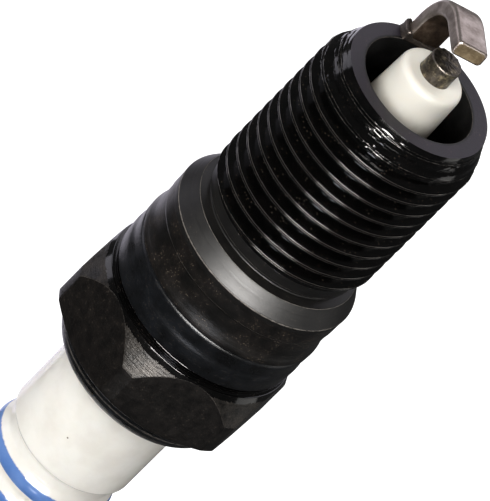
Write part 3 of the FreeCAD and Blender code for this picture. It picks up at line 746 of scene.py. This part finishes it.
def makeStrap():
    s = strapSizes
    surface = Surface()
    stations = strapLine()

    def ring(station, shrink, forward):
        x, z, turn = station
        points = []
        for a, b, edge in strapSection(s["thickness"] - 2 * shrink, s["width"] - 2 * shrink,
                                       s["corner"] - shrink * 0.5):
            out = x + a * math.cos(turn) - forward * math.sin(turn)
            up = z + a * math.sin(turn) + forward * math.cos(turn)
            point = onEndFace(out, b, up)
            point += point.normalized() * 0.012 * noise.noise(point * 1.3)
            points.append((point, 0.75 * edge + 0.15))
        return points

    rings = [ring(station, 0, 0) for station in stations[:-1]]
    soft = s["endRounding"]
    for k in range(5):
        turn = math.pi / 2 * k / 4
        rings.append(ring(stations[-1], soft * (1 - math.cos(turn)), soft * (math.sin(turn) - 1)))
    surface.addStrip(rings)
    # the side toward the electrode, between the inner corners, gets the painted shade
    perRing = len(rings[0])
    for i in range(len(surface.finish)):
        if perRing * 3 // 8 < i % perRing < perRing * 5 // 8:
            surface.finish[i] = 2
    # the sheared end, slightly dished, in shrinking rings
    endSection = strapSection(s["thickness"] - 2 * soft, s["width"] - 2 * soft, s["corner"] - soft * 0.5)
    ends = []
    x, z, turn = stations[-1]
    for share in (1, 0.8, 0.55, 0.3, 0.05):
        points = []
        for a, b, _ in endSection:
            dish = -0.03 * (1 - share)
            out = x + a * share * math.cos(turn) - dish * math.sin(turn)
            up = z + a * share * math.sin(turn) + dish * math.cos(turn)
            points.append((onEndFace(out, b * share, up), 0.5 if share == 1 else 0.0))
        ends.append(points)
    surface.addStrip(ends, finish=1)
    last = len(surface.points)
    surface.faces += [tuple(range(last - perRing, last)), tuple(range(perRing))]
    surface.finish += [1, 0]
    strap = surface.build("ground_electrode_strap", [strapNickel, strapEnd, strapInnerShade], 50)
    settle(strap, "plug", "ground_electrode")


def makeWeld():
    # fillet squeezed out round the foot, rising into a thin fin at one end of it
    s, w = strapSizes, weldSizes
    surface = Surface()
    outline = strapSection(s["thickness"], s["width"], s["corner"], 8)
    rings = []
    for (wide, tall), (finWide, finTall) in zip(w["fillet"], w["fin"]):
        points = []
        for a, b, _ in outline:
            nx = max(abs(a) - s["thickness"] / 2 + s["corner"], 0) * math.copysign(1, a)
            ny = max(abs(b) - s["width"] / 2 + s["corner"], 0) * math.copysign(1, b)
            size = math.hypot(nx, ny)
            lump = 0.7 + 0.5 * noise.noise(Vector((a * 1.7, b * 1.7, 3.1))) + 0.3 * noise.noise(
                Vector((a * 5, b * 5, tall * 4)))
            inward = smoothStep(0.2, -0.6, a)
            fin = smoothStep(s["width"] / 2 - 0.45, s["width"] / 2 - 0.1, b)
            grow = wide * lump * (0.45 + 0.75 * inward) * (1 - fin) + finWide * fin
            rise = tall * lump * (0.35 + 0.65 * inward) * (1 - fin) + finTall * (0.85 + 0.2 * lump) * fin
            point = onEndFace(s["footRadius"] + a + nx / size * grow, b + ny / size * grow, reach + rise)
            ringRadius = math.hypot(point.x, point.y)
            limit = min(max(ringRadius, w["innerLimit"]), w["outerLimit"])
            point.x *= limit / ringRadius
            point.y *= limit / ringRadius
            points.append((point, 0.3))
        rings.append(points)
    # closed inside the strap and a little below the end face
    low, high = reach - w["sunk"], reach + w["sunk"]
    rings.insert(0, [(Vector((p.x, p.y, low)), 0.0) for p, _ in rings[0]])
    surface.addStrip(rings)
    hidden = [[(onEndFace(s["footRadius"] + a * 0.9, b * 0.95, z), 0.0) for a, b, _ in outline]
              for z in (high, low)]
    surface.addStrip([rings[-1], *hidden, rings[0]])
    weld = surface.build("ground_electrode_weld_bead", [weldNickel], 60)
    settle(weld, "plug", "ground_electrode_weld")


makeStrap()
makeWeld()
print("ground electrode made")


wireSizes = {
    "radius": 1.25, "rounding": 0.13, "headRadius": 1.8, "headFront": 2.06, "cone": 2.6,
    "firedLength": 1.2, "pitsPerMm": 2.6, "pitDepth": 0.06, "pittedLength": 0.2, "rimWear": 0.09,
}


def makeWire():
    # the fired tip is domed, pitted and burnt back round its rim
    s = wireSizes
    surface = Surface()
    angles = evenAngles(96)
    low = boxInMm("centre_electrode")[0].z
    outline = softOutline([
        (s["radius"] * 0.55, electrodeTip - 0.012, 0), (s["radius"], electrodeTip - 0.03, s["rounding"]),
        (s["radius"], s["cone"], 0.02), (s["headRadius"], s["headFront"], 0.05), (s["headRadius"], low, 0.05),
        (0.0, low, 0)], 5)
    rows = []
    tip = [(s["radius"] * k / 10, electrodeTip - 0.01, 0.0) for k in range(6)]
    perMm = s["pitsPerMm"]
    for r, z, wear in tip + spread(outline, 0.16):
        row = []
        near = smoothStep(electrodeTip - s["firedLength"], electrodeTip, z)
        for a in angles:
            u, v = around(a)
            pits = noise.fractal(Vector((u * r * perMm, v * r * perMm, z * perMm)), 0.7, 2.0, 4)
            rim = wear * near * s["rimWear"] * noise.noise(Vector((u * 5, v * 5, 1.7)))
            dz = -s["pitDepth"] * abs(pits) * (z > electrodeTip - s["pittedLength"])
            row.append((max(r + 0.012 * pits * (r > 1) + rim, 0), z + dz, 0.6 * wear + 0.1))
        rows.append(row)
    surface.addGrid(rows, angles)
    wire = surface.build("centre_electrode_wire", [wireNickel], 45)
    settle(wire, "plug", "centre_electrode")


makeWire()
print("centre electrode made")


def makeInsulator():
    s = ceramicSizes
    low, high = [corner.z for corner in boxInMm("insulator")]
    last = s["firstRib"] - (s["ribCount"] - 0.5) * s["ribPitch"]
    valley = s["bodyRadius"] - s["ribDepth"]
    head = valley - 0.35
    flangeTop, flangeFront, flangeBack, flangeEnd = s["flange"]
    upper = softOutline([
        (s["boreRadius"], high, 0), (s["boreRadius"] + 0.1, high, 0.03),
        (s["noseRadius"], high, s["noseRounding"]), (s["noseRootRadius"], s["noseRoot"], 0.1),
        (s["noseRootRadius"], s["seat"][0], 0.05), (s["waistRadius"], s["seat"][1], 0.1),
        (s["waistRadius"], flangeTop + 0.08, 0.1), (s["flangeRadius"], flangeFront, 0.1),
        (s["flangeRadius"], flangeBack, 0.2), (s["bodyRadius"], flangeEnd, 0.2),
        (s["bodyRadius"], s["bodyEnd"] + 0.3, 0.6), (s["bodyRadius"] - 0.3, s["bodyEnd"], 0.3),
        (valley, s["bodyEnd"] - 0.25, 0.12), (valley, s["firstRib"] + s["ribPitch"] / 2, 0)], 10)
    ribs = []
    for i in range(1, s["ribCount"] * 24 + 1):
        z = s["firstRib"] + s["ribPitch"] / 2 - s["ribPitch"] * i / 24
        wave = 0.5 - 0.5 * math.cos(2 * math.pi * i / 24)
        ribs.append((valley + s["ribDepth"] * wave ** 0.8, z, 0.0))
    lower = softOutline([
        (valley, last, 0), (head, last - 0.4, 0.3), (head, low, s["headRounding"]),
        (s["sealBoreRadius"], low, 0.1),
        (s["sealBoreRadius"], s["boreFloor"] - 0.72, 0), (s["boreRadius"], s["boreFloor"], 0),
        (s["boreRadius"], high, 0)], 8)
    surface = Surface()
    surface.addGrid(spread(upper + ribs + lower[1:], 0.45), evenAngles(192))
    piece = surface.build("insulator_ceramic", [ceramic], 50)
    settle(piece, "plug", "insulator")


makeInsulator()
print("insulator made")


nutSizes = {
    "radius": 3.175, "waist": 2.55, "foot": 3.2, "waistLength": 2.3, "bore": 2.03, "wall": 1.36, "edge": 0.45,
}


def makeNut():
    s = nutSizes
    low, high = [corner.z for corner in boxInMm("terminal_nut")]
    footEnd = high - s["foot"]
    waistEnd = footEnd - s["waistLength"]
    outline = softOutline([
        (s["bore"], high, 0.08), (s["bore"] + 0.25, high, 0.05), (s["radius"], high, 0.2),
        (s["radius"], footEnd, 0.2),
        (s["waist"] + 0.3, footEnd, 0.2), (s["waist"], footEnd - 0.85, 0.4), (s["waist"], waistEnd, 0.3),
        (s["radius"], waistEnd, 0.14), (s["radius"], low, s["edge"]), (s["radius"] * 0.5, low, 0)], 7)
    crown = [(s["radius"] * 0.25, low, 0.0), (0.0, low, 0.0)]
    bore = [(0.0, low + s["wall"], 0.0), (s["bore"], low + s["wall"], 0.0), (s["bore"], high, 0.0)]
    surface = Surface()
    angles = evenAngles(144)
    surface.addGrid(spread(outline, 0.35) + crown, angles)
    surface.addGrid(bore, angles)
    nut = surface.build("terminal_nut_turned", [finishes["nickel_plated_steel"]], 40)
    settle(nut, "terminal_nut", "terminal_nut")


makeNut()
print("terminal nut made")


carried = {
    "centre_electrode_core": "copper_extruded", "insulator_seat_washer": "steel_stamped",
    "lower_packing_ring": "steel_stamped", "upper_packing_ring": "steel_stamped",
    "talc_packing": "talc_pressed", "lower_glass_seal": "copper_glass_fused",
    "upper_glass_seal": "copper_glass_fused", "resistor": "resistor_glass_carbon",
    "terminal_stud": "nickel_plated_steel",
}
for name, finish in carried.items():
    mesh = cadNodes[name].data
    mesh.materials.clear()
    mesh.materials.append(finishes[finish])
print("carried pieces finished:", len(carried))


stage = {
    "floor": "#f4f3f1", "floorSize": 3000, "floorDrop": 14, "floorGlow": 1.4,
    "world": "#ffffff", "worldStrength": 0.06,
    # name: azimuth, elevation, distance, width, height in millimetres, brightness, colour, what it lights
    "lights": {
        "front_key": (-74, 24, 330, 230, 56, 56.0, "#fffcf8", "gloss"),
        "front_fill": (-98, 38, 330, 260, 260, 6.5, "#fffefb", "matte"),
        "back_sheet": (95, 32, 420, 420, 260, 1.1, "#f6f3ff", "both"),
        "low_strip": (-74, -7, 330, 90, 56, 9.0, "#f2f5ff", "gloss"),
        "left_sheet": (118, -36, 330, 220, 260, 1.1, "#f4efff", "both"),
        "left_strip": (172, 0, 330, 150, 150, 1.3, "#f6f3ff", "both"),
        "right_strip": (18, -2, 330, 130, 150, 0.9, "#fffdfa", "both"),
        "back_fill": (80, 22, 330, 260, 260, 3.0, "#fffefb", "matte"),
    },
}
view = {
    "azimuth": -86.72, "elevation": 34.53, "distance": 598.36, "aim": (-0.717, -0.041, -2.479),
    "roll": 44.88, "lens": 606.86, "sensor": 36,
}


def direction(azimuth, elevation):
    a, e = math.radians(azimuth), math.radians(elevation)
    return Vector((math.cos(e) * math.cos(a), math.cos(e) * math.sin(a), math.sin(e)))


def makeFloor():
    size = stage["floorSize"]
    level = boxInMm("terminal_nut")[0].z - stage["floorDrop"]  # room for the nut to come off
    surface = Surface()
    rows = [(size * (k / 12) ** 2, level, 0.0) for k in range(13)]
    surface.addGrid(rows, evenAngles(48))
    material, tree, place = newMaterial("vinyl_sweep_matte_white")
    cloud = addNode(tree, "TexNoise", {"Vector": place, "Scale": 6.0, "Detail": 3})
    tone = addNode(tree, "MapRange", {0: cloud, 3: 0.94, 4: 1.0})
    matte = addNode(tree, "BsdfDiffuse", {"Color": toLinear(stage["floor"])})
    glow = addNode(tree, "Emission", {"Color": (1, 1, 1, 1), "Strength": stage["floorGlow"]})
    # the sweep is lit to clean white where it is seen, and stays plain vinyl for the light it throws back
    seen = addNode(tree, "LightPath").outputs["Is Camera Ray"]
    seen = addNode(tree, "Math", {0: seen, 1: tone}, operation="MULTIPLY")
    mixed = addNode(tree, "MixShader", {0: seen, 1: matte, 2: glow})
    addNode(tree, "OutputMaterial", {"Surface": mixed})
    floor = surface.build("studio_floor", [material], weld=0.01)
    floor.visible_glossy = False
    floor.visible_shadow = False


def makeLights():
    aim = Vector(view["aim"])
    for name, settings in stage["lights"].items():
        azimuth, elevation, distance, width, height, strength, colour, lights = settings
        light = bpy.data.lights.new(name, "AREA")
        light.shape = "RECTANGLE"
        light.size = width * millimetre
        light.size_y = height * millimetre
        # strength is the sheet's brightness, so its power grows with its area
        light.energy = strength * math.pi * light.size * light.size_y
        light.color = toLinear(colour)[:3]
        lamp = bpy.data.objects.new(name, light)
        lamp.location = (aim + direction(azimuth, elevation) * distance) * millimetre
        lamp.rotation_euler = direction(azimuth, elevation).to_track_quat("Z", "Y").to_euler()
        lamp.visible_glossy = lights != "matte"
        lamp.visible_diffuse = lights != "gloss"
        bpy.context.scene.collection.objects.link(lamp)
    world = bpy.data.worlds.new("studio_air")
    world.use_nodes = True
    world.node_tree.nodes["Background"].inputs[0].default_value = toLinear(stage["world"])
    world.node_tree.nodes["Background"].inputs[1].default_value = stage["worldStrength"]
    bpy.context.scene.world = world


def makeCamera():
    lens = bpy.data.cameras.new("studio_camera")
    lens.sensor_fit = "VERTICAL"
    lens.sensor_height = view["sensor"]
    lens.lens = view["lens"]
    lens.clip_start = 0.01
    camera = bpy.data.objects.new("studio_camera", lens)
    toCamera = direction(view["azimuth"], view["elevation"])
    turn = toCamera.to_track_quat("Z", "Y").to_matrix() @ Matrix.Rotation(math.radians(view["roll"]), 3, "Z")
    place = (Vector(view["aim"]) + toCamera * view["distance"]) * millimetre
    camera.matrix_world = Matrix.Translation(place) @ turn.to_4x4()
    bpy.context.scene.collection.objects.link(camera)
    bpy.context.scene.camera = camera


makeFloor()
makeLights()
makeCamera()
bpy.context.scene.view_settings.view_transform = "Standard"
print("stage set")
